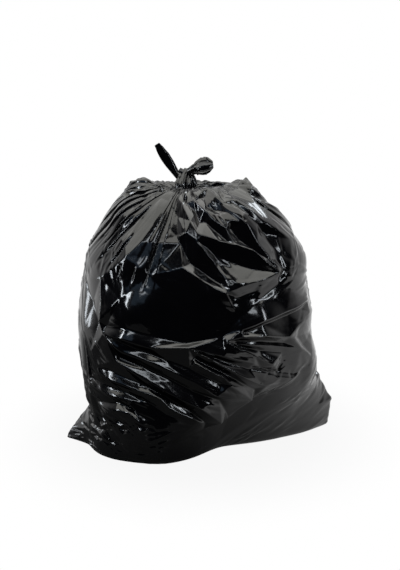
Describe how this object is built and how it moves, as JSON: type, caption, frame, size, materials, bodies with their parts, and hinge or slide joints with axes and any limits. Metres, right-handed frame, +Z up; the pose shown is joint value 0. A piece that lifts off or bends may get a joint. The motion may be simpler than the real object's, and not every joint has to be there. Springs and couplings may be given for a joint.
{
  "type": "tied refuse sack",
  "caption": "Full glossy film sack standing on the floor, gathered in pleats and closed with a half knot whose tails stand up.",
  "frame": {"origin": "on the floor under the middle of the sack", "axes": "+Z up, -Y towards the front that the picture shows, +X to the right of that front"},
  "size_m": [0.6327, 0.4534, 0.7064],
  "materials": {
    "film": "thin glossy black film with crisp creases"
  },
  "bodies": {
    "root": {"tied_sack": "film"}
  },
  "joints": []
}
